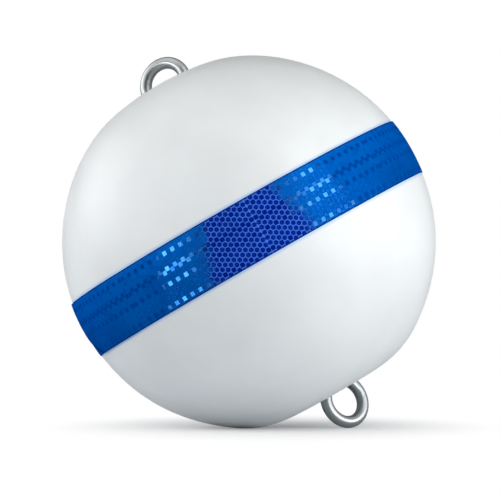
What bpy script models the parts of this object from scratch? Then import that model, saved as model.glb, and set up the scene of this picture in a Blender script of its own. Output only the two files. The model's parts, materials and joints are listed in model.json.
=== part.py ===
"""Mooring buoy: a polyethylene float filled with foam, on a steel rod with an eye at each end,
and a band of blue reflective tape round its middle.

Lengths are in metres and +Z is up. Every piece is modelled about the buoy's own axis, with the middle
of the tape at the origin and the upper eye towards +Z. The whole buoy then lies as it comes to rest on
a floor: on its lower shoulder and its lower eye, with the upper eye leaning towards -X.
"""

import math

import bmesh
import bpy
from mathutils import Matrix, Vector

# Float: a crown round the upper eye, a side that bulges to the full diameter, a shoulder and a flat
FLOAT_DIAMETER = 0.304
FLOAT_WALL = 0.0035
CROWN_HEIGHT = 0.1446  # from the middle of the tape up to the top of the crown
CROWN_RADIUS = 0.230  # of the shallow dome
CROWN_HALF_ANGLE = math.radians(11.4)
CROWN_PULL = 0.053  # how far the side keeps the crown's slope
UPPER_BAND_PULL = 0.072  # how far the side above the middle stays upright
LOWER_BAND_PULL = 0.0393  # how far the side below the middle stays upright
SHOULDER_PULL = 0.0674  # how far the side keeps the shoulder's slope
SHOULDER_RADIUS = 0.083
SHOULDER_ANGLE = math.radians(34.5)
FLAT_DEPTH = 0.1436  # from the middle of the tape down to the flat
FLAT_DIAMETER = 0.0746

# Rod and its two eyes, bent from one round bar
BAR_DIAMETER = 0.010
EYE_DIAMETER = 0.036  # of the line through the middle of the bar
UPPER_EYE_SINK = 0.0012  # eye's centre below the top of the crown
UPPER_EYE_OFFSET = 0.0033  # eye's centre to one side of the rod, in the plane of the eye
UPPER_EYE_TWIST = math.radians(-17.9)  # turn about the rod
UPPER_EYE_LEAN = math.radians(19.2)  # the upper eye is bent back from the rod
LOWER_EYE_REACH = 0.0100  # eye's centre beyond the flat
LOWER_EYE_OFFSET = 0.0042
LOWER_EYE_TWIST = math.radians(37.5)

# Reflective tape, one strip whose front end lies over its other end at the left
TAPE_WIDTH = 0.0475
TAPE_THICKNESS = 0.0004
TAPE_END = math.radians(179)  # where the upper layer ends, along the middle of the tape
TAPE_END_SLANT = math.radians(63)  # the scissor cut's turn away from square
TAPE_OVERLAP = math.radians(30)  # from the upper layer's end to the hidden one's
TAPE_RAMP = math.radians(15)  # over which the upper layer comes down onto the float

# Room between pieces that touch
FIT_GAP = 0.0003

# Fineness of the round shapes
ROUND_STEPS = 48
CROWN_STEPS = 3
SIDE_STEPS = 5
TAPE_STEPS = 3
SHOULDER_STEPS = 4
BAR_SIDES = 16
EYE_STEPS = 40

FLOAT_RADIUS = FLOAT_DIAMETER / 2
BAR_RADIUS = BAR_DIAMETER / 2
EYE_RADIUS = EYE_DIAMETER / 2
UPPER_EYE_HEIGHT = CROWN_HEIGHT - UPPER_EYE_SINK
LOWER_EYE_DEPTH = FLAT_DEPTH + LOWER_EYE_REACH
HALF_STEP = math.pi / ROUND_STEPS
X_AXIS, Y_AXIS, Z_AXIS = (Vector(row) for row in Matrix.Identity(3))


def clear_scene():
    for obj in list(bpy.data.objects):
        bpy.data.objects.remove(obj)


def make_material(name, colour, roughness, metallic=0.0):
    material = bpy.data.materials.new(name)
    material.use_nodes = True
    shader = material.node_tree.nodes["Principled BSDF"]
    shader.inputs["Base Color"].default_value = (*colour, 1.0)
    shader.inputs["Roughness"].default_value = roughness
    shader.inputs["Metallic"].default_value = metallic
    return material


def add_object(name, shape, parent, material=None):
    """An object of the bmesh, on the buoy's own axis; with no material it is a cutter."""
    bmesh.ops.recalc_face_normals(shape, faces=shape.faces)
    mesh = bpy.data.meshes.new(name)
    shape.to_mesh(mesh)
    shape.free()
    mesh.shade_smooth()
    mesh.set_sharp_from_angle(angle=math.radians(40))
    obj = bpy.data.objects.new(name, mesh)
    bpy.context.scene.collection.objects.link(obj)
    obj.parent = parent
    if material:
        mesh.materials.append(material)
    else:
        obj.hide_render = True
        obj.display_type = "WIRE"
    return obj


def combine(obj, other, operation):
    """Cuts the other object out of this one, or joins it on."""
    boolean = obj.modifiers.new(f"{operation.title()} {other.name}", "BOOLEAN")
    boolean.object = other
    boolean.operation = operation


def side_curve(start, start_pull, end, end_pull):
    """A cubic curve as a function of the share of its way, from 0 to 1."""
    pulled_start = start + start_pull
    pulled_end = end + end_pull

    def point(share):
        rest = 1 - share
        outer = start * rest**3 + end * share**3
        return outer + pulled_start * 3 * rest**2 * share + pulled_end * 3 * rest * share**2

    return point


def share_at_height(curve, height):
    """The share of a falling curve at which it passes the height."""
    low, high = 0.0, 1.0
    for _ in range(40):
        middle = (low + high) / 2
        if curve(middle).y > height:
            low = middle
        else:
            high = middle
    return (low + high) / 2


def along_curve(curve, first, last, steps):
    """Points of a curve from one share to another, without the first."""
    return [curve(first + (last - first) * (i + 1) / steps) for i in range(steps)]


def float_outline():
    """The float's outer side as (radius, height) points from the top of the axis to its bottom, and
    the places in the list of the tape's two edges."""
    crown = [
        Vector((CROWN_RADIUS * math.sin(a), CROWN_HEIGHT - CROWN_RADIUS * (1 - math.cos(a))))
        for a in (CROWN_HALF_ANGLE * i / CROWN_STEPS for i in range(CROWN_STEPS + 1))
    ]
    shoulder = [
        Vector((
            FLAT_DIAMETER / 2 + SHOULDER_RADIUS * math.sin(a),
            SHOULDER_RADIUS * (1 - math.cos(a)) - FLAT_DEPTH,
        ))
        for a in (SHOULDER_ANGLE * (1 - i / SHOULDER_STEPS) for i in range(SHOULDER_STEPS + 1))
    ]
    widest = Vector((FLOAT_RADIUS, 0))
    crown_slope = Vector((math.cos(CROWN_HALF_ANGLE), -math.sin(CROWN_HALF_ANGLE)))
    shoulder_slope = Vector((math.cos(SHOULDER_ANGLE), math.sin(SHOULDER_ANGLE)))
    upper = side_curve(crown[-1], crown_slope * CROWN_PULL, widest, Vector((0, UPPER_BAND_PULL)))
    lower = side_curve(
        widest, Vector((0, -LOWER_BAND_PULL)), shoulder[0], shoulder_slope * SHOULDER_PULL
    )
    upper_edge = share_at_height(upper, TAPE_WIDTH / 2)
    lower_edge = share_at_height(lower, -TAPE_WIDTH / 2)
    outline = crown + along_curve(upper, 0, upper_edge, SIDE_STEPS)
    first_taped = len(outline) - 1
    outline += along_curve(upper, upper_edge, 1, TAPE_STEPS)
    outline += along_curve(lower, 0, lower_edge, TAPE_STEPS)
    last_taped = len(outline) - 1
    outline += along_curve(lower, lower_edge, 1, SIDE_STEPS)
    outline += shoulder[1:] + [Vector((0, -FLAT_DEPTH))]
    return outline, first_taped, last_taped


def inset(outline, depth):
    """The outline moved inwards by the depth, or outwards by a negative one. Its ends stay on the axis."""
    moved = []
    for i, point in enumerate(outline):
        before = outline[i - 1] if i else Vector((-outline[1].x, outline[1].y))
        last = i + 1 == len(outline)
        after = Vector((-outline[-2].x, outline[-2].y)) if last else outline[i + 1]
        along = (after - before).normalized()
        moved.append(point + Vector((along.y, -along.x)) * depth)
    return moved


def turned(outline):
    """A closed shape turned from an outline. A flat between two edges faces each way along X."""
    shape = bmesh.new()
    start = Matrix.Rotation(HALF_STEP, 3, "Z")
    rim = [shape.verts.new(start @ Vector((p.x, 0, p.y))) for p in outline]
    edges = [shape.edges.new(pair) for pair in zip(rim, rim[1:])]
    bmesh.ops.spin(
        shape, geom=rim + edges, cent=(0, 0, 0), axis=Z_AXIS, angle=math.tau, steps=ROUND_STEPS
    )
    bmesh.ops.remove_doubles(shape, verts=shape.verts, dist=FIT_GAP / 100)
    return shape


def eye_axes(twist, lean):
    """Two directions in the plane of an eye: across it, and from the rod to its far side."""
    across = Matrix.Rotation(twist, 3, "Z") @ X_AXIS
    back = Matrix.Rotation(twist, 3, "Z") @ Y_AXIS
    return across, Z_AXIS * math.cos(lean) + back * math.sin(lean)


def eye_foot(height, offset, lean):
    """Height at which the rod meets an eye whose centre is at the given height."""
    return height - math.sqrt(EYE_RADIUS**2 - offset**2) * math.cos(lean)


def bar_ring(height, offset, twist, lean, radius):
    """A ring of round bar whose line passes through the rod's axis at the eye's foot."""
    across, outward = eye_axes(twist, lean)
    rise = math.sqrt(EYE_RADIUS**2 - offset**2)
    centre = Z_AXIS * eye_foot(height, offset, lean) + across * offset + outward * rise
    through = across.cross(outward)
    shape = bmesh.new()
    section = []
    for i in range(BAR_SIDES):
        turn = math.tau * i / BAR_SIDES
        out = across * (EYE_RADIUS + radius * math.cos(turn))
        section.append(shape.verts.new(centre + out + through * radius * math.sin(turn)))
    edges = [shape.edges.new((section[i - 1], section[i])) for i in range(BAR_SIDES)]
    bmesh.ops.spin(
        shape, geom=section + edges, cent=centre, axis=through, angle=math.tau, steps=EYE_STEPS
    )
    bmesh.ops.remove_doubles(shape, verts=shape.verts, dist=FIT_GAP / 100)
    return shape


def straight_bar(radius):
    """The length of bar between the feet of the two eyes."""
    top = eye_foot(UPPER_EYE_HEIGHT, UPPER_EYE_OFFSET, UPPER_EYE_LEAN)
    bottom = -eye_foot(LOWER_EYE_DEPTH, LOWER_EYE_OFFSET, 0)
    shape = bmesh.new()
    bmesh.ops.create_cone(
        shape,
        cap_ends=True,
        segments=BAR_SIDES,
        radius1=radius,
        radius2=radius,
        depth=top - bottom,
        matrix=Matrix.Translation((0, 0, (top + bottom) / 2)),
    )
    return shape


def upper_ring(radius):
    return bar_ring(UPPER_EYE_HEIGHT, UPPER_EYE_OFFSET, UPPER_EYE_TWIST, UPPER_EYE_LEAN, radius)


def lower_ring(radius):
    shape = bar_ring(LOWER_EYE_DEPTH, LOWER_EYE_OFFSET, -LOWER_EYE_TWIST, 0, radius)
    bmesh.ops.transform(shape, matrix=Matrix.Rotation(math.pi, 3, "X"), verts=shape.verts)
    return shape


def rod_bars(radius):
    """The rod's three stretches of bar, by name."""
    return {
        "rod": straight_bar(radius),
        "upper_eye": upper_ring(radius),
        "lower_eye": lower_ring(radius),
    }


def make_rod(buoy, steel):
    """The steel rod, with its bent eyes joined on."""
    bars = rod_bars(BAR_RADIUS)
    rod = add_object("through_rod", bars.pop("rod"), buoy, steel)
    for name, shape in bars.items():
        combine(rod, add_object(f"{name}_bar", shape, buoy), "UNION")
    return rod


def make_rod_passage(buoy):
    """Cutters of the rod's form, wider by the gap all round."""
    bars = rod_bars(BAR_RADIUS + FIT_GAP)
    return [add_object(f"{name}_passage", shape, buoy) for name, shape in bars.items()]


def make_float(buoy, outline, passages, plastic, foam):
    """The moulded shell, and the foam that fills it, both open where the bar passes."""
    shell = add_object("float_shell", turned(outline), buoy, plastic)
    cavity = add_object("shell_cavity", turned(inset(outline, FLOAT_WALL)), buoy)
    combine(shell, cavity, "DIFFERENCE")
    core = add_object("foam_core", turned(inset(outline, FLOAT_WALL + FIT_GAP)), buoy, foam)
    for passage in passages:
        combine(shell, passage, "DIFFERENCE")
        combine(core, passage, "DIFFERENCE")


def make_tape(buoy, outline, first, last, foil):
    """The strip, from the slanted end that shows, round the front and the back, to under its own start."""
    layer = TAPE_THICKNESS + FIT_GAP
    step = 2 * HALF_STEP
    hidden_end = TAPE_END + TAPE_OVERLAP
    ramp_start = hidden_end + step
    taped = outline[first : last + 1]
    cuts = [TAPE_END - p.y / FLOAT_RADIUS * math.tan(TAPE_END_SLANT) for p in taped]
    inner = inset(outline, -FIT_GAP)[first : last + 1]
    outer = inset(outline, -layer)[first : last + 1]
    corners = list(zip(inner, cuts)) + list(zip(reversed(outer), reversed(cuts)))
    shape = bmesh.new()
    previous = None
    turn = math.floor(min(cuts) / step) * step + HALF_STEP
    while turn < math.tau + hidden_end:
        down = min(max((turn - ramp_start) / TAPE_RAMP, 0), 1)
        lift = layer * (1 - down)
        section = [
            shape.verts.new(
                Matrix.Rotation(max(turn, cut), 3, "Z") @ Vector((p.x + lift, 0, p.y))
            )
            for p, cut in corners
        ]
        if previous is None:
            shape.faces.new(section)
        else:
            for j in range(len(section)):
                shape.faces.new((previous[j - 1], previous[j], section[j], section[j - 1]))
        previous = section
        turn += step
    shape.faces.new(previous)
    bmesh.ops.remove_doubles(shape, verts=shape.verts, dist=FIT_GAP / 100)
    add_object("reflective_tape", shape, buoy, foil)


def rest_on_floor(buoy, outline):
    """Leans the buoy until the shoulder and the lower eye both touch the floor, and centres it there."""

    def shoulder_reach(lean):
        sine, cosine = math.sin(lean), math.cos(lean)
        return max(p.x * math.cos(HALF_STEP) * sine - p.y * cosine for p in outline)

    def eye_reach(lean):
        sine, cosine = math.sin(lean), math.cos(lean)
        sideways = math.cos(LOWER_EYE_TWIST) * sine
        ring = EYE_RADIUS * math.hypot(sideways, cosine) + BAR_RADIUS
        return LOWER_EYE_DEPTH * cosine - LOWER_EYE_OFFSET * sideways + ring

    low, high = 0.0, math.pi / 3
    for _ in range(40):
        lean = (low + high) / 2
        if eye_reach(lean) > shoulder_reach(lean):
            low = lean
        else:
            high = lean
    right = max(p.x * math.cos(lean) - p.y * math.sin(lean) for p in outline)
    left = max(p.x * math.cos(lean) + p.y * math.sin(lean) for p in outline)
    buoy.rotation_euler = (0, -lean, 0)
    buoy.location = ((left - right) / 2, 0, shoulder_reach(lean))


def main():
    clear_scene()
    buoy = bpy.data.objects.new("buoy_axis", None)
    bpy.context.scene.collection.objects.link(buoy)
    outline, first_taped, last_taped = float_outline()
    passages = make_rod_passage(buoy)
    make_float(
        buoy,
        outline,
        passages,
        make_material("white_polyethylene", (0.80, 0.82, 0.83), 0.38),
        make_material("cream_foam", (0.78, 0.70, 0.48), 0.90),
    )
    make_rod(buoy, make_material("galvanised_steel", (0.60, 0.61, 0.62), 0.28, 1.0))
    make_tape(
        buoy,
        outline,
        first_taped,
        last_taped,
        make_material("blue_reflective_tape", (0.01, 0.09, 0.48), 0.35),
    )
    rest_on_floor(buoy, outline)


main()
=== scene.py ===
"""Mooring buoy: the finish of every surface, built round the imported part.

The float, the steel bar with its two eyes and the reflective tape are modelled finely about the buoy's own
axis, with the middle of the tape at the origin and the upper eye towards +Z, and then laid down as the part
lies. Lengths are in metres.
"""

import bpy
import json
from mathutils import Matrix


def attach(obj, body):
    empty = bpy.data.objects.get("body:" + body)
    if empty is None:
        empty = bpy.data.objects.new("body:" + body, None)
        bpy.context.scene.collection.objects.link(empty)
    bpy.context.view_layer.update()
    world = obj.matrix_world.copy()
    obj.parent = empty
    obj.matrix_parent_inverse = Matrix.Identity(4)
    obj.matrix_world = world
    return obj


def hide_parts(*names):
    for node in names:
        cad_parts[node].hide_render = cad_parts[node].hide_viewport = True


bl_info = {
    "name": "Mooring Buoy",
    "version": (1, 0, 0),
    "blender": (4, 5, 0),
    "location": "3D View > Sidebar > Buoy",
    "description": "Builds a round mooring buoy with its bar, eyes and reflective tape",
    "category": "Object",
}

import json
import math

import bmesh
import bpy
import numpy as np
from mathutils import Matrix, Vector

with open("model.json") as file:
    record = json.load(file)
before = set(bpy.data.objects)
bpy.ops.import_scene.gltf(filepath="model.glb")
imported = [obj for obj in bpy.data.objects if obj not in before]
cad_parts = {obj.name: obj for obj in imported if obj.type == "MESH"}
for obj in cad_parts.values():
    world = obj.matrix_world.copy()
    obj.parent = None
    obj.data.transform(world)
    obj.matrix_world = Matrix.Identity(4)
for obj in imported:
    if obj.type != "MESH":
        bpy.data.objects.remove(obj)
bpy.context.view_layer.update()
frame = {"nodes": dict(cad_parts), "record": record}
UNDERSIDE = frame["record"]["mounts"][0]

MM = 0.001
PHOTO_PIXELS = 500
SENSOR_WIDTH = 36.0
FLATS_INSIDE = math.cos(math.pi / 48)  # share of the radius that lies inside the part's 48 flats
SIDE_CURVE = 0.165  # radius of the float's side seen from the side, across the tape
X_AXIS, Y_AXIS, Z_AXIS = (Vector(row) for row in Matrix.Identity(3))


def linear(code):
    """A colour written as an sRGB hex value, as the linear values that Blender works in."""
    values = [int(code[i : i + 2], 16) / 255 for i in (1, 3, 5)]
    return [v / 12.92 if v <= 0.04045 else ((v + 0.055) / 1.055) ** 2.4 for v in values]


def length(name, description, default):
    """A size in metres."""
    return bpy.props.FloatProperty(
        name=name, description=description, default=default, min=0, precision=5, unit="LENGTH"
    )


def turn(name, description, degrees):
    """An angle, written in degrees."""
    return bpy.props.FloatProperty(
        name=name, description=description, default=math.radians(degrees), subtype="ANGLE"
    )


def colour(name, description, code):
    """A colour, written as an sRGB hex value."""
    return bpy.props.FloatVectorProperty(
        name=name, description=description, default=linear(code), size=3, subtype="COLOR"
    )


class FloatSizes(bpy.types.PropertyGroup):
    """The moulded float and its foam."""

    diameter: length("Diameter", "Across the middle", 0.304)
    wall: length("Wall", "Thickness of the moulded skin", 0.0035)
    crown_height: length("Crown height", "From the middle of the tape to the top", 0.1446)
    crown_radius: length("Crown radius", "Of the shallow dome round the upper eye", 0.230)
    crown_half_angle: turn("Crown half angle", "From the axis to the dome's rim", 11.4)
    crown_pull: length("Crown pull", "How far the side keeps the crown's slope", 0.053)
    upper_pull: length("Upper pull", "How far the side above the middle stays upright", 0.072)
    lower_pull: length("Lower pull", "How far the side below the middle stays upright", 0.0393)
    shoulder_pull: length("Shoulder pull", "How far the side keeps the shoulder's slope", 0.0674)
    shoulder_radius: length("Shoulder radius", "Of the round edge under the float", 0.083)
    shoulder_angle: turn("Shoulder angle", "Swept by the shoulder's arc", 34.5)
    flat_depth: length("Flat depth", "From the middle of the tape to the flat", 0.1436)
    flat_diameter: length("Flat diameter", "Across the flat round the lower eye", 0.0746)
    steps: bpy.props.IntProperty(name="Steps", description="Flats round the float", default=192)
    plastic: colour("Plastic", "Moulded polyethylene", "#ECF0F1")
    shade: colour("Plastic shade", "Where the polyethylene is a little greyer", "#E6E9EA")
    # Painted blue light: a blue tint on the polyethylene beside the tape, standing for light through the
    # skin
    painted_blue_light: colour("Painted blue light", "Polyethylene beside the tape, lit blue through the skin", "#C4DDFF")
    foam: colour("Foam", "Cast polyurethane foam inside the float", "#E6DDB6")
    foam_cell: colour("Foam cell", "Shade round the foam's cells", "#D2C592")


class BarSizes(bpy.types.PropertyGroup):
    """The steel bar and its two eyes."""

    diameter: length("Bar diameter", "Of the round bar, measured over the part's flats", 0.0098)
    eye: length("Eye diameter", "Of the line through the middle of the bar", 0.036)
    upper_sink: length("Upper sink", "Upper eye's centre below the top of the crown", 0.0012)
    upper_offset: length("Upper offset", "Upper eye's centre to one side of the rod", 0.0033)
    upper_twist: turn("Upper twist", "Turn of the upper eye about the rod", -17.9)
    upper_lean: turn("Upper lean", "Upper eye bent back from the rod", 19.2)
    lower_reach: length("Lower reach", "Lower eye's centre beyond the flat", 0.0100)
    lower_offset: length("Lower offset", "Lower eye's centre to one side of the rod", 0.0042)
    lower_twist: turn("Lower twist", "Turn of the lower eye about the rod", 37.5)
    gap: length("Gap", "Room between the bar and the plastic", 0.0003)
    steel: colour("Steel", "Bright galvanised bar", "#A9ADAE")
    streak: colour("Streak", "Drawing marks along the bar", "#7C8082")


class TapeSizes(bpy.types.PropertyGroup):
    """The reflective tape and its honeycomb."""

    width: length("Width", "Of the strip", 0.0475)
    base: length("Film", "Thickness of the film under the cells", 0.00034)
    relief: length("Relief", "How far the cells stand over the film", 0.00006)
    gap: length("Gap", "Room between the tape and the float", 0.0003)
    end: turn("End", "Where the cut end shows, round the float", 179)
    slant: turn("Slant", "Turn of the scissor cut away from square", 63)
    overlap: turn("Overlap", "From the cut end to the hidden one", 30)
    ramp_start: turn("Ramp start", "Where the upper layer starts to come down", 216.5)
    ramp: turn("Ramp", "Over which the upper layer comes down", 15)
    pitch: length("Cell pitch", "Between the middles of neighbouring cells", 0.00440)
    web: length("Web", "Width of the bonded line between two cells", 0.00078)
    roll: bpy.props.IntProperty(
        name="Roll columns", description="Columns of cells between two joints of the pattern", default=32
    )
    joint: length("Joint", "Extra room where the pattern starts again", 0.0002)
    joint_place: turn("Joint place", "Of one joint of the pattern, round the float", 275)
    open_place: turn("Open place", "Middle of a stretch that shows its honeycomb, round the float", 271)
    open_width: length("Open width", "Half the length of a stretch that shows its honeycomb", 0.038)
    open_count: bpy.props.IntProperty(
        name="Open count", description="Stretches round the float that show their honeycomb", default=3
    )
    glint: length("Glint", "Side of the square prism plates", 0.0034)
    edge: length("Edge", "Width of the unbonded line along each edge", 0.0009)
    # The line along the cut end has no cells and is painted dark as shade
    cut_edge: length("Cut edge", "Width of the cell-free line along the cut end, painted dark as shade", 0.0024)
    tilt: turn("Prism tilt", "Of the square plates' prisms, towards the upper eye", 15)
    cell: colour("Cell", "Blue dye of the film over the cells", "#001F88")
    cell_mark: colour("Cell mark", "Where the film dips into an open cell", "#1C46C0")
    # The next four colours are a painted sheen: a lighter blue that stands for side light reflected by the
    # prisms, painted lighter along the strip's upper edge as a painted highlight, with random darker marks
    # and random lighter areas
    upper_sheen: colour("Upper sheen", "Painted sheen at the strip's upper edge", "#005FBE")
    lower_sheen: colour("Lower sheen", "Painted sheen at the strip's lower edge", "#004C9E")
    sheen_mark: colour("Sheen mark", "Darker marks in the cells under the painted sheen", "#003E96")
    backing: colour("Backing", "Painted sheen in random lighter areas", "#0062C2")
    # Painted glint: light blue specks painted round the flashing squares
    painted_glint: colour("Painted glint", "Broken light round the flashing squares", "#2C86EA")
    bonded: colour("Bonded line", "Where the film is bonded between the cells", "#4B80EA")
    # Dark line along the strip's edges, also used as painted shade along the cut end
    margin: colour("Margin", "Dark line along the strip's edges, and painted shade along its cut end", "#062B6E")
    flash: colour("Flash", "Prisms that lean towards the light, through the blue film", "#50ABF4")
    dull_flash: colour("Dull flash", "Prisms that lean a little off the light", "#2268BA")
    square: colour("Square", "Squares of prisms that don't flash", "#00439A")


class StageSettings(bpy.types.PropertyGroup):
    """Floor, light and camera."""

    distance: length("Distance", "From the camera to the middle of the tape", 2.19)
    elevation: turn("Elevation", "Of the camera above the middle of the tape", -2.0)
    scale: bpy.props.FloatProperty(
        name="Scale", description="Pixels of the photograph per float radius", default=187.22
    )
    centre: bpy.props.FloatVectorProperty(
        name="Centre",
        description="Pixel of the photograph that shows the middle of the tape's circle",
        size=2,
        default=(247.33, 239.06),
    )
    floor: colour("Floor", "Matt pale sweep", "#DADDE0")


def sizes():
    """The settings of the float, the bar, the tape and the stage."""
    scene = bpy.context.scene
    return scene.buoy_float, scene.buoy_bar, scene.buoy_tape, scene.buoy_stage


def buoy_place():
    """From the buoy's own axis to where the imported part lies: its flat faces along the mount's axis, and
    the mount's point is the middle of the lower eye, on the flat."""
    shape, bar, _, _ = sizes()
    outward = Vector(UNDERSIDE["axis"])
    leaning = Matrix.Rotation(-math.atan2(outward.x, -outward.z), 4, "Y")
    across = Vector((math.cos(bar.lower_twist), math.sin(bar.lower_twist), 0)) * bar.lower_offset
    on_flat = across - Z_AXIS * shape.flat_depth
    return Matrix.Translation(Vector(UNDERSIDE["pos_m"]) - leaning @ on_flat) @ leaning


def tape_middle():
    """Where the middle of the tape's circle lies."""
    return buoy_place().translation


# Shapes


def side_curve(start, start_pull, end, end_pull, steps):
    """Points of a cubic curve, without the first."""
    shares = [(i + 1) / steps for i in range(steps)]
    return [
        start * (1 - t) ** 3
        + (start + start_pull) * 3 * (1 - t) ** 2 * t
        + (end + end_pull) * 3 * (1 - t) * t**2
        + end * t**3
        for t in shares
    ]


def float_outline(shape):
    """The float's outer side as (radius, height) points from the top of the axis to its bottom."""
    crown_steps, side_steps, shoulder_steps, flat_steps = 16, 56, 20, 6
    crown, shoulder = [], []
    for i in range(crown_steps + 1):
        a, radius = shape.crown_half_angle * i / crown_steps, shape.crown_radius
        crown.append(Vector((radius * math.sin(a), shape.crown_height - radius * (1 - math.cos(a)))))
    rim = shape.flat_diameter / 2
    for i in range(shoulder_steps + 1):
        a, radius = shape.shoulder_angle * (1 - i / shoulder_steps), shape.shoulder_radius
        shoulder.append(Vector((rim + radius * math.sin(a), radius * (1 - math.cos(a)) - shape.flat_depth)))
    widest = Vector((shape.diameter / 2, 0))
    fall = Vector((math.cos(shape.crown_half_angle), -math.sin(shape.crown_half_angle)))
    rise = Vector((math.cos(shape.shoulder_angle), math.sin(shape.shoulder_angle)))
    upright = Vector((0, 1))
    upper = side_curve(
        crown[-1], fall * shape.crown_pull, widest, upright * shape.upper_pull, side_steps
    )
    lower = side_curve(
        widest, -upright * shape.lower_pull, shoulder[0], rise * shape.shoulder_pull, side_steps
    )
    flat = [Vector((rim * (1 - (i + 1) / flat_steps), -shape.flat_depth)) for i in range(flat_steps)]
    return [Vector((p.x * FLATS_INSIDE, p.y)) for p in crown + upper + lower + shoulder[1:] + flat]


def inset(outline, depth):
    """The outline moved inwards, with its ends kept on the axis."""
    moved = []
    for i, point in enumerate(outline):
        before = outline[i - 1] if i else Vector((-outline[1].x, outline[1].y))
        last = i + 1 == len(outline)
        after = Vector((-outline[-2].x, outline[-2].y)) if last else outline[i + 1]
        along = (after - before).normalized()
        moved.append(point + Vector((along.y, -along.x)) * depth)
    return moved


def turned(outline, steps):
    """A closed shape turned from an outline about the buoy's axis."""
    shape = bmesh.new()
    rim = [shape.verts.new((p.x, 0, p.y)) for p in outline]
    edges = [shape.edges.new(pair) for pair in zip(rim, rim[1:])]
    bmesh.ops.spin(
        shape, geom=rim + edges, cent=(0, 0, 0), axis=Z_AXIS, angle=math.tau, steps=steps
    )
    bmesh.ops.remove_doubles(shape, verts=shape.verts, dist=0.001 * MM)
    return shape


def eye_ring(bar, height, offset, twist, lean, radius, around=96, section=32):
    """A ring of round bar about an eye, with how far round the ring and round the bar each point lies."""
    across = Matrix.Rotation(twist, 3, "Z") @ X_AXIS
    back = Matrix.Rotation(twist, 3, "Z") @ Y_AXIS
    outward = Z_AXIS * math.cos(lean) + back * math.sin(lean)
    ring = bar.eye / 2
    rise = math.sqrt(ring**2 - offset**2)
    foot = height - rise * math.cos(lean)
    centre = Z_AXIS * foot + across * offset + outward * rise
    through = across.cross(outward)
    shape = bmesh.new()
    layer = shape.verts.layers.float_vector.new("bar")
    rows = []
    for i in range(around):
        a = math.tau * i / around
        out = across * math.cos(a) + outward * math.sin(a)
        row = []
        for j in range(section):
            b = math.tau * j / section
            point = centre + out * (ring + radius * math.cos(b)) + through * radius * math.sin(b)
            vert = shape.verts.new(point)
            vert[layer] = (math.cos(b) * radius, math.sin(b) * radius, a * ring)
            row.append(vert)
        rows.append(row)
    for i in range(around):
        for j in range(section):
            shape.faces.new((rows[i - 1][j - 1], rows[i][j - 1], rows[i][j], rows[i - 1][j]))
    return shape


def bar_shapes(radius):
    """The three stretches of the bar, closed, each as its own shape."""
    shape, bar, _, _ = sizes()
    ring = bar.eye / 2
    upper_height = shape.crown_height - bar.upper_sink
    lower_depth = shape.flat_depth + bar.lower_reach
    upper = eye_ring(bar, upper_height, bar.upper_offset, bar.upper_twist, bar.upper_lean, radius)
    lower = eye_ring(bar, lower_depth, bar.lower_offset, -bar.lower_twist, 0, radius)
    bmesh.ops.transform(lower, matrix=Matrix.Rotation(math.pi, 3, "X"), verts=lower.verts)
    top = upper_height - math.sqrt(ring**2 - bar.upper_offset**2) * math.cos(bar.upper_lean)
    bottom = -lower_depth + math.sqrt(ring**2 - bar.lower_offset**2)
    rod = bmesh.new()
    place = Matrix.Translation((0, 0, (top + bottom) / 2))
    bmesh.ops.create_cone(
        rod, cap_ends=True, segments=32, radius1=radius, radius2=radius, depth=top - bottom, matrix=place
    )
    layer = rod.verts.layers.float_vector.new("bar")
    for vert in rod.verts:
        vert[layer] = vert.co
    return {"rod": rod, "upper_eye": upper, "lower_eye": lower}


def mesh_object(name, shape):
    """An object of the shape, its faces outwards."""
    bmesh.ops.recalc_face_normals(shape, faces=shape.faces)
    mesh = bpy.data.meshes.new(name)
    shape.to_mesh(mesh)
    shape.free()
    obj = bpy.data.objects.new(name, mesh)
    bpy.context.scene.collection.objects.link(obj)
    return obj


def replace_mesh(obj):
    """Makes what the modifiers give the object's own mesh."""
    graph = bpy.context.evaluated_depsgraph_get()
    mesh = bpy.data.meshes.new_from_object(obj.evaluated_get(graph))
    obj.modifiers.clear()
    obj.data = mesh


def combine(obj, others, operation):
    """Cuts the others out of the object, or joins them on, and removes them."""
    for other in others:
        boolean = obj.modifiers.new("Boolean", "BOOLEAN")
        boolean.object = other
        boolean.operation = operation
    replace_mesh(obj)
    for other in others:
        bpy.data.objects.remove(other)


def finish_piece(obj, nodes, materials, sharp=35):
    """Shades the piece, lays it down as the part lies, hangs it on the root body and hides the part's nodes
    that it replaces. Without materials it keeps those that its mesh has."""
    mesh = obj.data
    mesh.shade_smooth()
    mesh.set_sharp_from_angle(angle=math.radians(sharp))
    mesh.transform(buoy_place())
    if materials:
        mesh.materials.clear()
        for material in materials:
            mesh.materials.append(material)
    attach(obj, "root")
    if nodes:
        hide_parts(*nodes)


# Materials


def feed(node, inputs):
    """Gives a node's inputs values or other nodes' outputs."""
    for key, value in inputs.items():
        if isinstance(value, bpy.types.NodeSocket):
            node.id_data.links.new(value, node.inputs[key])
        else:
            node.inputs[key].default_value = value


def add(tree, kind, inputs=None, **settings):
    """A node with its settings, whose inputs are values or other nodes' outputs."""
    node = tree.nodes.new(kind)
    for name, value in settings.items():
        setattr(node, name, value)
    feed(node, inputs or {})
    return node


def new_material(name, values):
    """A material, its node tree and its shader, with the values on the shader's sockets."""
    material = bpy.data.materials.new(name)
    material.use_nodes = True
    tree = material.node_tree
    shader = tree.nodes["Principled BSDF"]
    feed(shader, values)
    return material, tree, shader


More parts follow.
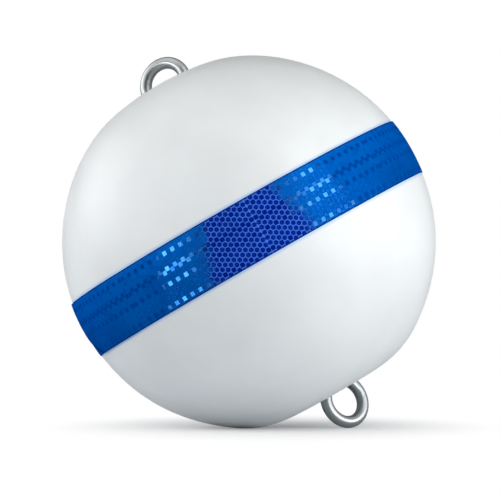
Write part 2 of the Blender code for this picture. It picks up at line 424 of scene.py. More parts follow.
def polyethylene():
    """Rotationally moulded white polyethylene: satin, faintly cloudy, with the soft waviness that the
    skin takes from its mould."""
    shape, _, tape, _ = sizes()
    material, tree, shader = new_material("moulded white polyethylene", {"IOR": 1.51})
    at = add(tree, "ShaderNodeTexCoord").outputs["Object"]
    # Clouds 60 mm across, from uneven cooling
    clouds = add(tree, "ShaderNodeTexNoise", {"Vector": at, "Scale": 16.0, "Detail": 3.0})
    cloudy = add(tree, "ShaderNodeMapRange", {0: clouds.outputs["Fac"], 1: 0.35, 2: 0.7})
    tones = {0: cloudy.outputs[0], 6: (*shape.plastic, 1), 7: (*shape.shade, 1)}
    body = add(tree, "ShaderNodeMix", tones, data_type="RGBA")
    # Painted blue light: the skin is tinted blue a millimetre past each tape edge, as if lit through the
    # tape, drawn wider to show
    height = add(tree, "ShaderNodeAttribute", attribute_name="height").outputs["Fac"]
    away = add(tree, "ShaderNodeMath", {0: height}, operation="ABSOLUTE").outputs[0]
    edge = tape.width / 2
    near = add(tree, "ShaderNodeMapRange", {0: away, 1: edge + 1.2 * MM, 2: edge + 2.8 * MM, 3: 1.0, 4: 0.0})
    tones = {0: near.outputs[0], 6: body.outputs[2], 7: (*shape.painted_blue_light, 1)}
    tinted = add(tree, "ShaderNodeMix", tones, data_type="RGBA")
    # Gloss differs a little over areas of 20 mm
    gloss = add(tree, "ShaderNodeTexNoise", {"Vector": at, "Scale": 48.0, "Detail": 2.0})
    rough = add(tree, "ShaderNodeMapRange", {0: gloss.outputs["Fac"], 1: 0.3, 2: 0.7, 3: 0.40, 4: 0.48})
    # Mould texture: real grain is near 0.5 mm, drawn at 4 mm so that it shows at all
    grain = add(tree, "ShaderNodeTexNoise", {"Vector": at, "Scale": 250.0, "Detail": 2.0})
    relief = {"Height": grain.outputs["Fac"], "Strength": 0.2, "Distance": 0.1 * MM}
    bump = add(tree, "ShaderNodeBump", relief)
    feed(shader, {"Base Color": tinted.outputs[2], "Roughness": rough.outputs[0], "Normal": bump.outputs[0]})
    return material


def galvanised_steel():
    """Bright galvanised round bar: a metallic mirror softened by drawing marks along the bar."""
    _, bar, _, _ = sizes()
    material, tree, shader = new_material("bright galvanised bar", {"Metallic": 1.0})
    at = add(tree, "ShaderNodeAttribute", attribute_name="bar").outputs["Vector"]
    # Marks 1 mm apart round the bar and 40 mm long along it
    drawn = add(tree, "ShaderNodeMapping", {"Vector": at, "Scale": (1000.0, 1000.0, 25.0)})
    marks = add(tree, "ShaderNodeTexNoise", {"Vector": drawn.outputs[0], "Scale": 1.0, "Detail": 3.0})
    share = add(tree, "ShaderNodeMapRange", {0: marks.outputs["Fac"], 1: 0.35, 2: 0.75})
    tones = {0: share.outputs[0], 6: (*bar.steel, 1), 7: (*bar.streak, 1)}
    body = add(tree, "ShaderNodeMix", tones, data_type="RGBA")
    rough = add(tree, "ShaderNodeMapRange", {0: marks.outputs["Fac"], 1: 0.3, 2: 0.7, 3: 0.32, 4: 0.46})
    relief = {"Height": marks.outputs["Fac"], "Strength": 0.3, "Distance": 0.1 * MM}
    bump = add(tree, "ShaderNodeBump", relief)
    feed(shader, {"Base Color": body.outputs[2], "Roughness": rough.outputs[0], "Normal": bump.outputs[0]})
    return material


def painted_sheen_stretch(tree, strip, earlier=0.0):
    """1 where a painted sheen, a lighter blue that stands for side light reflected by the prisms, hides the
    honeycomb, 0 in the stretches that show it. The border is soft, wanders by some cells, slants outwards to
    the strip's lower edge, and lies the given length earlier."""
    shape, _, tape, _ = sizes()
    soft, wander, slant = 6 * MM, 16 * MM, 0.36  # the slant is length along for each length up
    middle = shape.diameter / 2 * FLATS_INSIDE
    period = middle * math.tau / tape.open_count
    place = add(tree, "ShaderNodeSeparateXYZ", {0: strip})
    first = middle * tape.open_place - period / 2
    moved = add(tree, "ShaderNodeMath", {0: place.outputs["X"], 1: first}, operation="SUBTRACT")
    within = add(tree, "ShaderNodeMath", {0: moved.outputs[0], 1: period}, operation="FLOORED_MODULO")
    off = add(tree, "ShaderNodeMath", {0: within.outputs[0], 1: period / 2}, operation="SUBTRACT")
    away = add(tree, "ShaderNodeMath", {0: off.outputs[0]}, operation="ABSOLUTE")
    terms = {0: place.outputs["Y"], 1: slant, 2: away.outputs[0]}
    slanted = add(tree, "ShaderNodeMath", terms, operation="MULTIPLY_ADD")
    noise = add(tree, "ShaderNodeTexNoise", {"Vector": strip, "Scale": 160.0, "Detail": 1.0})
    terms = {0: noise.outputs["Fac"], 1: wander, 2: slanted.outputs[0]}
    rough = add(tree, "ShaderNodeMath", terms, operation="MULTIPLY_ADD")
    border = tape.open_width + wander / 2 - earlier
    reach = {0: rough.outputs[0], 1: border - soft, 2: border + soft}
    closed = add(tree, "ShaderNodeMapRange", reach, interpolation_type="SMOOTHSTEP")
    return closed.outputs[0]


def flash_stretch(tree, strip):
    """1 beside each stretch of honeycomb, where the squares' prisms get their mirror and glint specks are
    painted on the cells, 0 elsewhere.
    """
    start, end = 4 * MM, 42 * MM  # before and past the honeycomb's border
    within = painted_sheen_stretch(tree, strip, start)
    beyond = painted_sheen_stretch(tree, strip, -end)
    beside = add(tree, "ShaderNodeMath", {0: within, 1: beyond}, operation="SUBTRACT")
    return beside.outputs[0]


def painted_sheen_blue(tree, strip):
    """Painted sheen: a lighter blue that stands for side light reflected by the prisms, painted lighter
    towards the strip's upper edge as a painted highlight.
    """
    _, _, tape, _ = sizes()
    across = add(tree, "ShaderNodeSeparateXYZ", {0: strip}).outputs["Y"]
    half = tape.width / 2
    share = add(tree, "ShaderNodeMapRange", {0: across, 1: -half, 2: half})
    tones = {0: share.outputs[0], 6: (*tape.lower_sheen, 1), 7: (*tape.upper_sheen, 1)}
    return add(tree, "ShaderNodeMix", tones, data_type="RGBA").outputs[2]


def bonded_film(start):
    """Blue film where it is bonded to its backing between the cells, with a dark unbonded line along each
    edge of the strip and a dark line of painted shade along its cut end, which starts at the given place.
    Between the stretches that show the honeycomb it takes the painted sheen."""
    _, _, tape, _ = sizes()
    soft = 0.1 * MM
    material, tree, shader = new_material("bonded blue film", {"Roughness": 0.5, "Specular IOR Level": 0.0})
    strip = add(tree, "ShaderNodeUVMap", uv_map="strip").outputs["UV"]
    across = add(tree, "ShaderNodeSeparateXYZ", {0: strip}).outputs["Y"]
    away = add(tree, "ShaderNodeMath", {0: across}, operation="ABSOLUTE").outputs[0]
    edge = tape.width / 2 - tape.edge
    sides = add(tree, "ShaderNodeMapRange", {0: away, 1: edge - soft, 2: edge + soft})
    # Painted shade: a dark line along the cut end, where the cells stop short
    normal = (math.cos(tape.slant), math.sin(tape.slant), 0)
    inwards = add(tree, "ShaderNodeVectorMath", {0: strip, 1: normal}, operation="DOT_PRODUCT")
    cut = start * math.cos(tape.slant) + tape.cut_edge
    reach = {0: inwards.outputs["Value"], 1: cut - soft, 2: cut + soft, 3: 1.0, 4: 0.0}
    cut_shade = add(tree, "ShaderNodeMapRange", reach).outputs[0]
    dark = add(tree, "ShaderNodeMath", {0: sides.outputs[0], 1: cut_shade}, operation="MAXIMUM")
    # The bond is uneven over 3 mm
    bond = add(tree, "ShaderNodeTexNoise", {"Vector": strip, "Scale": 330.0, "Detail": 2.0})
    uneven = add(tree, "ShaderNodeMapRange", {0: bond.outputs["Fac"], 1: 0.35, 2: 0.75, 3: 0.0, 4: 0.3})
    tones = {0: uneven.outputs[0], 6: (*tape.bonded, 1), 7: (*tape.cell, 1)}
    lines = add(tree, "ShaderNodeMix", tones, data_type="RGBA")
    # Painted sheen over the bonded lines between the stretches that show the honeycomb
    tones = {0: painted_sheen_stretch(tree, strip), 6: lines.outputs[2], 7: painted_sheen_blue(tree, strip)}
    hidden = add(tree, "ShaderNodeMix", tones, data_type="RGBA")
    tones = {0: dark.outputs[0], 6: hidden.outputs[2], 7: (*tape.margin, 1)}
    feed(shader, {"Base Color": add(tree, "ShaderNodeMix", tones, data_type="RGBA").outputs[2]})
    return material


def prism_cells():
    """Micro-prism cells under blue film: deep blue in the stretches that show their honeycomb, and elsewhere
    a lighter blue of painted sheen that stands for side light reflected by the prisms, with painted glint
    specks beside the honeycomb and fine marks where the film dips into the cells."""
    _, _, tape, _ = sizes()
    material, tree, shader = new_material("blue prism cells", {"Roughness": 0.42, "Specular IOR Level": 0.0})
    strip = add(tree, "ShaderNodeUVMap", uv_map="strip").outputs["UV"]
    shade = add(tree, "ShaderNodeAttribute", attribute_name="shade").outputs["Fac"]
    closed = painted_sheen_stretch(tree, strip)
    # Marks 1 mm across
    marks = add(tree, "ShaderNodeTexNoise", {"Vector": strip, "Scale": 1000.0, "Detail": 1.0})
    lifted = add(tree, "ShaderNodeMapRange", {0: marks.outputs["Fac"], 1: 0.5, 2: 0.75})
    tones = {0: lifted.outputs[0], 6: (*tape.cell, 1), 7: (*tape.cell_mark, 1)}
    deep = add(tree, "ShaderNodeMix", tones, data_type="RGBA")
    # Each cell under the painted sheen is a little lighter or darker than the next, at random
    both = add(tree, "ShaderNodeMath", {0: shade, 1: marks.outputs["Fac"]}, operation="ADD")
    darker = add(tree, "ShaderNodeMapRange", {0: both.outputs[0], 1: 0.9, 2: 1.5, 3: 0.0, 4: 0.5})
    tones = {0: darker.outputs[0], 6: painted_sheen_blue(tree, strip), 7: (*tape.sheen_mark, 1)}
    silky = add(tree, "ShaderNodeMix", tones, data_type="RGBA")
    # The painted sheen is a little lighter over random areas of 30 mm
    areas = add(tree, "ShaderNodeTexNoise", {"Vector": strip, "Scale": 34.0, "Detail": 1.0})
    lighter = add(tree, "ShaderNodeMapRange", {0: areas.outputs["Fac"], 1: 0.4, 2: 0.7, 3: 0.0, 4: 0.5})
    tones = {0: lighter.outputs[0], 6: silky.outputs[2], 7: (*tape.backing, 1)}
    uneven = add(tree, "ShaderNodeMix", tones, data_type="RGBA")
    # Painted glints: specks of light 1 mm across, painted into the colour round the flashing squares
    specks = add(tree, "ShaderNodeMapRange", {0: marks.outputs["Fac"], 1: 0.56, 2: 0.68, 3: 0.0, 4: 0.7})
    terms = {0: specks.outputs[0], 1: flash_stretch(tree, strip)}
    bright = add(tree, "ShaderNodeMath", terms, operation="MULTIPLY")
    tones = {0: bright.outputs[0], 6: uneven.outputs[2], 7: (*tape.painted_glint, 1)}
    speckled = add(tree, "ShaderNodeMix", tones, data_type="RGBA")
    # Painted sheen over the cells between the stretches that show the honeycomb
    tones = {0: closed, 6: deep.outputs[2], 7: speckled.outputs[2]}
    body = add(tree, "ShaderNodeMix", tones, data_type="RGBA").outputs[2]
    silk = add(tree, "ShaderNodeMath", {0: closed, 1: 0.3}, operation="MULTIPLY").outputs[0]
    relief = {"Height": marks.outputs["Fac"], "Strength": 0.6, "Distance": 0.2 * MM}
    bump = add(tree, "ShaderNodeBump", relief).outputs[0]
    feed(shader, {"Base Color": body, "Specular Tint": body, "Metallic": silk, "Normal": bump})
    return material


def prism_squares():
    """Squares of the sheeting whose prisms all lean one way: beside the honeycomb they flash where a
    lamp suits them, and elsewhere they are a dull blue."""
    _, _, tape, _ = sizes()
    values = {"Roughness": 0.6, "Specular IOR Level": 0.0}
    material, tree, shader = new_material("leaning prism squares", values)
    strip = add(tree, "ShaderNodeUVMap", uv_map="strip").outputs["UV"]
    across = add(tree, "ShaderNodeSeparateXYZ", {0: strip}).outputs["Y"]
    tones = {0: painted_sheen_stretch(tree, strip), 6: (*tape.cell, 1), 7: (*tape.square, 1)}
    feed(shader, {"Base Color": add(tree, "ShaderNodeMix", tones, data_type="RGBA").outputs[2]})
    # The prisms keep one direction although the float's side curves away above and below
    terms = {0: across, 1: 1 / (2 * SIDE_CURVE), 2: -math.tan(tape.tilt)}
    steepness = add(tree, "ShaderNodeMath", terms, operation="MULTIPLY_ADD")
    slope = add(tree, "ShaderNodeMath", {0: across, 1: steepness.outputs[0]}, operation="MULTIPLY")
    # Marks 1 mm across break the mirror up
    marks = add(tree, "ShaderNodeTexNoise", {"Vector": strip, "Scale": 1100.0, "Detail": 1.0})
    terms = {0: marks.outputs["Fac"], 1: 0.12 * MM, 2: slope.outputs[0]}
    uneven = add(tree, "ShaderNodeMath", terms, operation="MULTIPLY_ADD")
    lean = add(tree, "ShaderNodeBump", {"Height": uneven.outputs[0], "Strength": 1.0, "Distance": 1.0})
    shade = add(tree, "ShaderNodeAttribute", attribute_name="shade").outputs["Fac"]
    tones = {0: shade, 6: (*tape.flash, 1), 7: (*tape.dull_flash, 1)}
    body = add(tree, "ShaderNodeMix", tones, data_type="RGBA").outputs[2]
    values = {"Base Color": body, "Specular Tint": body, "Metallic": 1.0, "Roughness": 0.13}
    prisms = add(tree, "ShaderNodeBsdfPrincipled", {**values, "Normal": lean.outputs["Normal"]})
    mirror = add(tree, "ShaderNodeMath", {0: flash_stretch(tree, strip), 1: 0.42}, operation="MULTIPLY")
    terms = {0: mirror.outputs[0], 1: shader.outputs[0], 2: prisms.outputs[0]}
    seen = add(tree, "ShaderNodeMixShader", terms)
    feed(tree.nodes["Material Output"], {"Surface": seen.outputs[0]})
    return material


def cast_foam():
    """Cream polyurethane foam as cast, matt and full of fine closed cells."""
    shape, _, _, _ = sizes()
    material, tree, shader = new_material("cream cast foam", {"Roughness": 0.9})
    at = add(tree, "ShaderNodeTexCoord").outputs["Object"]
    # Cells near 1 mm
    cells = add(tree, "ShaderNodeTexVoronoi", {"Vector": at, "Scale": 900.0}).outputs["Distance"]
    tones = {0: cells, 6: (*shape.foam, 1), 7: (*shape.foam_cell, 1)}
    body = add(tree, "ShaderNodeMix", tones, data_type="RGBA")
    bump = add(tree, "ShaderNodeBump", {"Height": cells, "Distance": 0.4 * MM})
    feed(shader, {"Base Color": body.outputs[2], "Normal": bump.outputs[0]})
    return material


# Tape


def plate_rows_tree():
    """Geometry Nodes tree: thin plates of one shape in columns along x, every second column half a row
    up, with a joint after each roll of columns where the pattern starts again half a row off. With a
    step of 2 it fills every second column, the even or the odd ones. Each plate is tilted a little at
    random and has a shade of its own."""
    tree = bpy.data.node_groups.new("Plate rows", "GeometryNodeTree")
    asked = {
        "NodeSocketInt": ("Columns", "Rows", "Step", "First", "Roll", "Sides", "Seed"),
        "NodeSocketFloat": (
            "Column Spacing", "Row Spacing", "Lowest Row", "Stagger", "Joint", "Radius", "Thickness",
            "Plate Turn", "Tilt Scatter",
        ),
        "NodeSocketMaterial": ("Material",),
    }
    for kind, names in asked.items():
        for name in names:
            tree.interface.new_socket(name=name, in_out="INPUT", socket_type=kind)
    tree.interface.new_socket(name="Geometry", in_out="OUTPUT", socket_type="NodeSocketGeometry")
    given = add(tree, "NodeGroupInput").outputs
    value = {socket.name: socket for socket in given if socket.name}
    value["index"] = add(tree, "GeometryNodeInputIndex").outputs[0]
    # Each sum has a name, its kind, and terms that are numbers or values named before it
    sums = (
        ("count", "MULTIPLY", "Columns", "Rows"),
        ("past index", "ADD", "index", 0.5),
        ("rows past", "DIVIDE", "past index", "Rows"),
        ("order", "FLOOR", "rows past"),
        ("before", "MULTIPLY", "order", "Rows"),
        ("row", "SUBTRACT", "index", "before"),
        ("stepped", "MULTIPLY", "order", "Step"),
        ("past step", "ADD", "stepped", 0.5),
        ("rolls past", "DIVIDE", "past step", "Roll"),
        ("joints", "FLOOR", "rolls past"),
        ("parity", "ADD", "First", "joints"),
        ("swapped", "MODULO", "parity", 2),
        ("skipped", "SUBTRACT", "Step", 1),
        ("shift", "MULTIPLY", "swapped", "skipped"),
        ("column", "ADD", "stepped", "shift"),
        ("to column", "MULTIPLY", "column", "Column Spacing"),
        ("joint room", "MULTIPLY", "joints", "Joint"),
        ("along", "ADD", "to column", "joint room"),
        ("column parity", "ADD", "column", "joints"),
        ("raised", "MODULO", "column parity", 2),
        ("up", "MULTIPLY", "raised", "Stagger"),
        ("lowest", "ADD", "up", "Lowest Row"),
        ("to row", "MULTIPLY", "row", "Row Spacing"),
        ("across", "ADD", "to row", "lowest"),
        ("least tilt", "MULTIPLY", "Tilt Scatter", -1),
    )
    for name, kind, *terms in sums:
        terms = {place: value.get(term, term) for place, term in enumerate(terms)}
        value[name] = add(tree, "ShaderNodeMath", terms, operation=kind, label=name).outputs[0]
    points = add(tree, "GeometryNodePoints", {"Count": value["count"]}).outputs[0]
    place = add(tree, "ShaderNodeCombineXYZ", {"X": value["along"], "Y": value["across"]}).outputs[0]
    placed = add(tree, "GeometryNodeSetPosition", {"Geometry": points, "Position": place}).outputs[0]
    form = {"Vertices": given["Sides"], "Radius": given["Radius"], "Depth": given["Thickness"]}
    plate = add(tree, "GeometryNodeMeshCylinder", form).outputs["Mesh"]
    about = add(tree, "ShaderNodeCombineXYZ", {"Z": given["Plate Turn"]}).outputs[0]
    plate = add(tree, "GeometryNodeTransform", {"Geometry": plate, "Rotation": about}).outputs[0]
    least, most = value["least tilt"], given["Tilt Scatter"]
    low = add(tree, "ShaderNodeCombineXYZ", {"X": least, "Y": least}).outputs[0]
    high = add(tree, "ShaderNodeCombineXYZ", {"X": most, "Y": most}).outputs[0]
    limits = {0: low, 1: high, "Seed": given["Seed"]}
    tilt = add(tree, "FunctionNodeRandomValue", limits, data_type="FLOAT_VECTOR").outputs[0]
    laid = {"Points": placed, "Instance": plate, "Rotation": tilt}
    plates = add(tree, "GeometryNodeInstanceOnPoints", laid).outputs[0]
    limits = {2: 0.0, 3: 1.0, "Seed": given["Seed"]}
    shade = add(tree, "FunctionNodeRandomValue", limits, data_type="FLOAT").outputs[1]
    kept = {"Geometry": plates, "Name": "shade", "Value": shade}
    kind = "GeometryNodeStoreNamedAttribute"
    shaded = add(tree, kind, kept, data_type="FLOAT", domain="INSTANCE").outputs[0]
    real = add(tree, "GeometryNodeRealizeInstances", {"Geometry": shaded}).outputs[0]
    finish = {"Geometry": real, "Material": given["Material"]}
    dressed = add(tree, "GeometryNodeSetMaterial", finish).outputs[0]
    add(tree, "NodeGroupOutput", {"Geometry": dressed})
    return tree


def plate_rows(tree, name, values):
    """An object with the flat plates that the tree makes from the values."""
    mesh = bpy.data.meshes.new(name)
    obj = bpy.data.objects.new(name, mesh)
    bpy.context.scene.collection.objects.link(obj)
    nodes = obj.modifiers.new("Plate rows", "NODES")
    nodes.node_group = tree
    asked = [item for item in tree.interface.items_tree if item.in_out == "INPUT"]
    sockets = {item.name: item.identifier for item in asked}
    for key, value in values.items():
        nodes[sockets[key]] = value
    replace_mesh(obj)
    return obj


def join_pieces(name, pieces):
    """One object made of several that share a material."""
    shape = bmesh.new()
    for piece in pieces:
        shape.from_mesh(piece.data)
    shape.to_mesh(pieces[0].data)
    shape.free()
    for piece in pieces[1:]:
        bpy.data.objects.remove(piece)
    pieces[0].name = name
    return pieces[0]


def trim_to_strip(obj, tape, start, end):
    """Cuts the flat plates a little inside the strip's edges, its slanted end and its square one."""
    shape = bmesh.new()
    shape.from_mesh(obj.data)
    half = tape.width / 2 - tape.edge
    slanted = Vector((math.cos(tape.slant), math.sin(tape.slant), 0))
    cuts = [
        (Y_AXIS * half, Y_AXIS),
        (-Y_AXIS * half, -Y_AXIS),
        (X_AXIS * start + slanted * tape.cut_edge, -slanted),
        (X_AXIS * (end - 0.4 * MM), X_AXIS),
    ]
    for point, normal in cuts:
        geom = shape.verts[:] + shape.edges[:] + shape.faces[:]
        bmesh.ops.bisect_plane(
            shape, geom=geom, dist=0.001 * MM, plane_co=point, plane_no=normal, clear_outer=True
        )
        open_edges = [edge for edge in shape.edges if edge.is_boundary]
        bmesh.ops.holes_fill(shape, edges=open_edges, sides=0)
    loose = [vert for vert in shape.verts if not vert.link_faces]
    bmesh.ops.delete(shape, geom=loose, context="VERTS")
    shape.to_mesh(obj.data)
    shape.free()


def bend_round_float(obj, tape, outline):
    """Bends a flat strip, along x, with its thickness along z, round the float, and keeps each point's
    flat place as the UV map."""
    mesh = obj.data
    flat = np.empty(len(mesh.vertices) * 3, np.float32)
    mesh.vertices.foreach_get("co", flat)
    along, across, over = flat.reshape(-1, 3).astype(float).T
    heights = np.array([p.y for p in outline])[::-1]
    radii = np.array([p.x for p in outline])[::-1]
    middle = max(radii)
    angle = along / middle
    layer = tape.gap + tape.base + tape.relief
    down = np.clip((angle - tape.ramp_start) / tape.ramp, 0, 1)
    lift = tape.gap + layer * (1 - down * down * (3 - 2 * down)) + over
    step = 0.5 * MM
    slope = np.interp(across + step, heights, radii) - np.interp(across - step, heights, radii)
    tip = np.arctan2(-slope, 2 * step)
    radius = np.interp(across, heights, radii) + lift * np.cos(tip)
    bent = np.stack(
        [radius * np.cos(angle), radius * np.sin(angle), across + lift * np.sin(tip)], axis=1
    )
    mesh.vertices.foreach_set("co", bent.astype(np.float32).ravel())
    corners = np.empty(len(mesh.loops), np.int32)
    mesh.loops.foreach_get("vertex_index", corners)
    places = np.stack([along, across], axis=1)[corners]
    mesh.uv_layers.new(name="strip").data.foreach_set("uv", places.astype(np.float32).ravel())
    mesh.update()


def flat_film(tape, start, end):
    """The strip's film as a flat closed slab, its first end slanted."""
    steps, rows = 780, 12
    shape = bmesh.new()
    layers = []
    for height in (0.0, tape.base):
        grid = []
        for i in range(steps + 1):
            share = i / steps
            line = []
            for j in range(rows + 1):
                across = tape.width * (j / rows - 0.5)
                first = start - across * math.tan(tape.slant)
                line.append(shape.verts.new((first + (end - first) * share, across, height)))
            grid.append(line)
        layers.append(grid)
    lower, upper = layers
    for i in range(steps):
        for j in range(rows):
            shape.faces.new((upper[i][j], upper[i + 1][j], upper[i + 1][j + 1], upper[i][j + 1]))
            shape.faces.new((lower[i][j], lower[i][j + 1], lower[i + 1][j + 1], lower[i + 1][j]))
        for j in (0, rows):
            shape.faces.new((lower[i][j], lower[i + 1][j], upper[i + 1][j], upper[i][j]))
    for i in (0, steps):
        for j in range(rows):
            shape.faces.new((lower[i][j], lower[i][j + 1], upper[i][j + 1], upper[i][j]))
    return shape


# Operators


class BUOY_OT_float(bpy.types.Operator):
    """Build the moulded float with its wall and the openings for the bar"""

    bl_idname = "buoy.build_float"
    bl_label = "Float"

    def execute(self, context):
        shape, bar, _, _ = sizes()
        outline = float_outline(shape)
        skin = mesh_object("moulded_float", turned(outline, shape.steps))
        cavity = mesh_object("cavity", turned(inset(outline, shape.wall), shape.steps))
        passages = [
            mesh_object(name, ring) for name, ring in bar_shapes(bar.diameter / 2 + bar.gap).items()
        ]
        combine(skin, [cavity, *passages], "DIFFERENCE")
        height = skin.data.attributes.new("height", "FLOAT", "POINT")
        height.data.foreach_set("value", [v.co.z for v in skin.data.vertices])
        finish_piece(skin, ["float_shell"], [polyethylene()])
        return {"FINISHED"}


class BUOY_OT_bar(bpy.types.Operator):
    """Build the steel bar with an eye bent at each end"""

    bl_idname = "buoy.build_bar"
    bl_label = "Bar and eyes"

    def execute(self, context):
        _, bar, _, _ = sizes()
        shapes = bar_shapes(bar.diameter / 2)
        steel = mesh_object("steel_bar", shapes.pop("rod"))
        eyes = [mesh_object(name, ring) for name, ring in shapes.items()]
        combine(steel, eyes, "UNION")
        finish_piece(steel, ["through_rod"], [galvanised_steel()])
        return {"FINISHED"}


class BUOY_OT_tape(bpy.types.Operator):
    """Build the reflective tape: its film, the honeycomb of prism cells and the flashing squares"""

    bl_idname = "buoy.build_tape"
    bl_label = "Reflective tape"

    def execute(self, context):
        shape, _, tape, _ = sizes()
        outline = float_outline(shape)
        middle = max(p.x for p in outline)
        start = middle * tape.end
        end = middle * (math.tau + tape.end + tape.overlap)
        film = mesh_object("tape_film", flat_film(tape, start, end))
        bend_round_float(film, tape, outline)
        finish_piece(film, ["reflective_tape"], [bonded_film(start)])

        tree = plate_rows_tree()
        column = tape.pitch * math.cos(math.pi / 6)
        roll = tape.roll * column + tape.joint
        reach = tape.width / 2 * math.tan(tape.slant)
        before = middle * tape.joint_place - (start - reach)
        first = middle * tape.joint_place - math.ceil(before / roll) * roll - column / 2
        columns = math.ceil((end - first) / column)
        inside = (tape.pitch - tape.web) / 2
        shared = {
            "Column Spacing": column, "Row Spacing": tape.pitch, "Stagger": tape.pitch / 2,
            "Roll": tape.roll, "Joint": tape.joint,
        }
        rows = {
            "Columns": columns, "Rows": math.ceil(tape.width / tape.pitch) + 2,
            "Lowest Row": -tape.pitch * math.ceil(tape.width / 2 / tape.pitch),
            "Step": 1, "First": 0, "Sides": 6, "Radius": inside / math.cos(math.pi / 6),
            "Thickness": tape.relief, "Plate Turn": 0.0, "Tilt Scatter": math.radians(0.4),
            "Seed": 3, "Material": prism_cells(),
        }
        # The cells sink a little into the film
        cells = plate_rows(tree, "tape_cells", {**shared, **rows})
        cells.data.transform(Matrix.Translation((first, 0, tape.base + 0.45 * tape.relief)))
        trim_to_strip(cells, tape, start, end)
        bend_round_float(cells, tape, outline)
        finish_piece(cells, [], [], sharp=10)

        # The squares sit on every second column, odd or even, in five rows across the strip
        squares = []
        finish = prism_squares()
        top = tape.base + tape.relief + 0.01 * MM
        for odd, height in ((0, 4), (0, 1), (0, -1), (1, 1), (1, -5)):
            line = {
                "Columns": columns // 2, "Rows": 1, "Lowest Row": height * tape.pitch,
                "Step": 2, "First": odd, "Sides": 4, "Radius": tape.glint / math.sqrt(2),
                "Thickness": 0.04 * MM, "Plate Turn": math.pi / 4, "Tilt Scatter": math.radians(0.2),
                "Seed": 5 + len(squares), "Material": finish,
            }
            squares.append(plate_rows(tree, "prism_line", {**shared, **line}))
            squares[-1].data.transform(Matrix.Translation((first, 0, top)))
        prisms = join_pieces("tape_prisms", squares)
        trim_to_strip(prisms, tape, start, end)
        bend_round_float(prisms, tape, outline)
        finish_piece(prisms, [], [], sharp=10)
        return {"FINISHED"}


class BUOY_OT_foam(bpy.types.Operator):
    """Give the foam inside the float its finish"""

    bl_idname = "buoy.finish_foam"
    bl_label = "Foam core"

    def execute(self, context):
        core = frame["nodes"]["foam_core"]
        core.data.materials.clear()
        core.data.materials.append(cast_foam())
        return {"FINISHED"}


class BUOY_OT_stage(bpy.types.Operator):
    """Build the floor, the light and the camera"""

    bl_idname = "buoy.build_stage"
    bl_label = "Stage"

    def execute(self, context):
        _, _, _, stage = sizes()
        build_floor(stage)
        for lamp in LAMPS:
            build_lamp(*lamp)
        build_world()
        build_camera(stage)
        context.scene.view_settings.view_transform = "Standard"
        return {"FINISHED"}


# Stage

# Name, azimuth and elevation in degrees, distance, width and height in metres, power in watts
LAMPS = (
    ("right_softbox", 58, 6, 1.4, 1.5, 0.8, 17.2),
    ("left_softbox", -59, 6, 1.5, 0.66, 0.9, 7.4),
    ("side_softbox", -100, 20, 1.6, 1.5, 1.1, 11.6),
    ("upper_softbox", -60, 62, 1.6, 1.2, 1.2, 4.3),
    ("high_softbox", 37, 48, 1.5, 0.66, 1.0, 5.6),
)


def build_floor(stage):
    """A large matt floor that goes over to plain white a little way from the buoy."""
    shape = bmesh.new()
    bmesh.ops.create_grid(shape, x_segments=1, y_segments=1, size=6.0)
    floor = mesh_object("floor", shape)
    values = {"Base Color": (*stage.floor, 1), "Roughness": 0.9, "Specular IOR Level": 0.0}
    material, tree, shader = new_material("matt pale floor", values)
    at = add(tree, "ShaderNodeTexCoord").outputs["Object"]
    # Partly painted shadow: the white fades out in an ellipse round the buoy, where the floor shows its own
    # grey lit shading along with the buoy's cast shadow. The ellipse lies a little to the buoy's right and
    # back, and reaches farther in depth
    moved = {"Vector": at, "Location": (-0.028, -0.035, 0), "Scale": (1.4, 0.8, 1)}
    shade = add(tree, "ShaderNodeMapping", moved).outputs[0]
    away = add(tree, "ShaderNodeVectorMath", {0: shade}, operation="LENGTH").outputs["Value"]
    reach = {0: away, 1: 0.0, 2: 0.28, 3: 0.16, 4: 1.0}
    far = add(tree, "ShaderNodeMapRange", reach, interpolation_type="SMOOTHSTEP").outputs[0]
    seen = add(tree, "ShaderNodeLightPath").outputs["Is Camera Ray"]
    share = add(tree, "ShaderNodeMath", {0: seen, 1: far}, operation="MULTIPLY").outputs[0]
    white = add(tree, "ShaderNodeEmission", {"Strength": 1.0}).outputs[0]
    mixed = add(tree, "ShaderNodeMixShader", {0: share, 1: shader.outputs[0], 2: white})
    feed(tree.nodes["Material Output"], {"Surface": mixed.outputs[0]})
    floor.data.materials.append(material)


def build_lamp(name, azimuth, elevation, distance, width, height, power):
    """A soft box that faces the middle of the tape. Azimuth 0 is the camera's side, 90 is +X."""
    light = bpy.data.lights.new(name, "AREA")
    light.shape = "RECTANGLE"
    light.size = width
    light.size_y = height
    light.energy = power
    obj = bpy.data.objects.new(name, light)
    bpy.context.scene.collection.objects.link(obj)
    a, e = math.radians(azimuth), math.radians(elevation)
    direction = Vector((math.sin(a) * math.cos(e), -math.cos(a) * math.cos(e), math.sin(e)))
    obj.location = tape_middle() + direction * distance
    obj.rotation_euler = direction.to_track_quat("Z", "Y").to_euler()


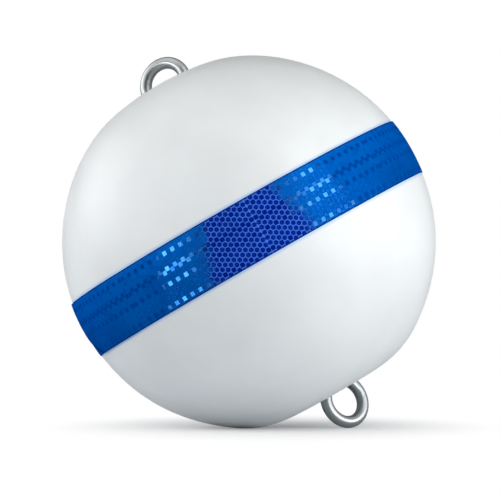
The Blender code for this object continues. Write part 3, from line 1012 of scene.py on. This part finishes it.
def build_world():
    """White where the camera sees it. As light it is a dim room, and in mirrors it is dark near the
    camera and behind the buoy, with pale walls at the sides."""
    world = bpy.data.worlds.new("Studio")
    bpy.context.scene.world = world
    world.use_nodes = True
    tree = world.node_tree
    tree.nodes.clear()
    path = add(tree, "ShaderNodeLightPath").outputs
    at = add(tree, "ShaderNodeTexCoord").outputs["Generated"]
    front = add(tree, "ShaderNodeVectorMath", {0: at, 1: (0, -1, 0)}, operation="DOT_PRODUCT")
    share = add(tree, "ShaderNodeMapRange", {0: front.outputs["Value"], 1: -1.0, 2: 1.0})
    room = add(tree, "ShaderNodeValToRGB", {0: share.outputs[0]})
    stops = room.color_ramp.elements
    for place, grey in ((0.17, 0.05), (0.27, 0.8), (0.66, 0.95), (0.82, 0.3), (0.92, 0.06)):
        stops.new(place).color = (grey, grey, grey, 1)
    stops[0].color = (0.03, 0.03, 0.03, 1)
    stops[-1].color = (0.03, 0.03, 0.03, 1)
    mirrored = add(tree, "ShaderNodeBackground", {"Color": room.outputs[0]}).outputs[0]
    plain = {"Color": (1, 1, 1, 1)}
    ambient = add(tree, "ShaderNodeBackground", {**plain, "Strength": 0.05}).outputs[0]
    white = add(tree, "ShaderNodeBackground", {**plain, "Strength": 1.0}).outputs[0]
    lit = add(tree, "ShaderNodeMixShader", {0: path["Is Glossy Ray"], 1: ambient, 2: mirrored})
    terms = {0: path["Is Camera Ray"], 1: path["Is Transmission Ray"]}
    clear = add(tree, "ShaderNodeMath", terms, operation="MAXIMUM").outputs[0]
    shown = add(tree, "ShaderNodeMixShader", {0: clear, 1: lit.outputs[0], 2: white})
    add(tree, "ShaderNodeOutputWorld", {"Surface": shown.outputs[0]})


def build_camera(stage):
    """The photograph's view: a long lens near the floor."""
    shape, _, tape, _ = sizes()
    radius = shape.diameter / 2 + tape.gap + tape.base + tape.relief
    middle = tape_middle()
    e = stage.elevation
    away = Vector((0, -math.cos(e), math.sin(e)))
    metres = radius / stage.scale
    half = PHOTO_PIXELS / 2
    aim = middle + X_AXIS * (half - stage.centre[0]) * metres
    aim += Z_AXIS * (stage.centre[1] - half) * metres
    data = bpy.data.cameras.new("photo_camera")
    data.sensor_width = SENSOR_WIDTH
    data.lens = stage.scale * stage.distance / radius / PHOTO_PIXELS * SENSOR_WIDTH
    camera = bpy.data.objects.new("photo_camera", data)
    bpy.context.scene.collection.objects.link(camera)
    camera.location = middle + away * stage.distance
    camera.rotation_euler = (camera.location - aim).to_track_quat("Z", "Y").to_euler()
    bpy.context.scene.camera = camera


class BUOY_PT_panel(bpy.types.Panel):
    """Lists the operators and the settings of each piece"""

    bl_idname = "BUOY_PT_panel"
    bl_label = "Mooring Buoy"
    bl_space_type = "VIEW_3D"
    bl_region_type = "UI"
    bl_category = "Buoy"

    def draw(self, context):
        for piece in PIECES:
            self.layout.operator(piece.bl_idname)
        for name in SETTINGS:
            box = self.layout.box()
            settings = getattr(context.scene, name)
            for key in settings.bl_rna.properties.keys():
                if key not in ("rna_type", "name"):
                    box.prop(settings, key)


PIECES = (BUOY_OT_float, BUOY_OT_bar, BUOY_OT_tape, BUOY_OT_foam, BUOY_OT_stage)
SETTINGS = {
    "buoy_float": FloatSizes,
    "buoy_bar": BarSizes,
    "buoy_tape": TapeSizes,
    "buoy_stage": StageSettings,
}


def register():
    for group in (*SETTINGS.values(), *PIECES, BUOY_PT_panel):
        bpy.utils.register_class(group)
    for name, group in SETTINGS.items():
        setattr(bpy.types.Scene, name, bpy.props.PointerProperty(type=group))


def unregister():
    for name in SETTINGS:
        delattr(bpy.types.Scene, name)
    for group in reversed((*SETTINGS.values(), *PIECES, BUOY_PT_panel)):
        bpy.utils.unregister_class(group)


def main():
    register()
    bpy.ops.buoy.build_stage()
    bpy.ops.buoy.build_float()
    bpy.ops.buoy.build_bar()
    bpy.ops.buoy.build_tape()
    bpy.ops.buoy.finish_foam()


if __name__ == "__main__":
    main()
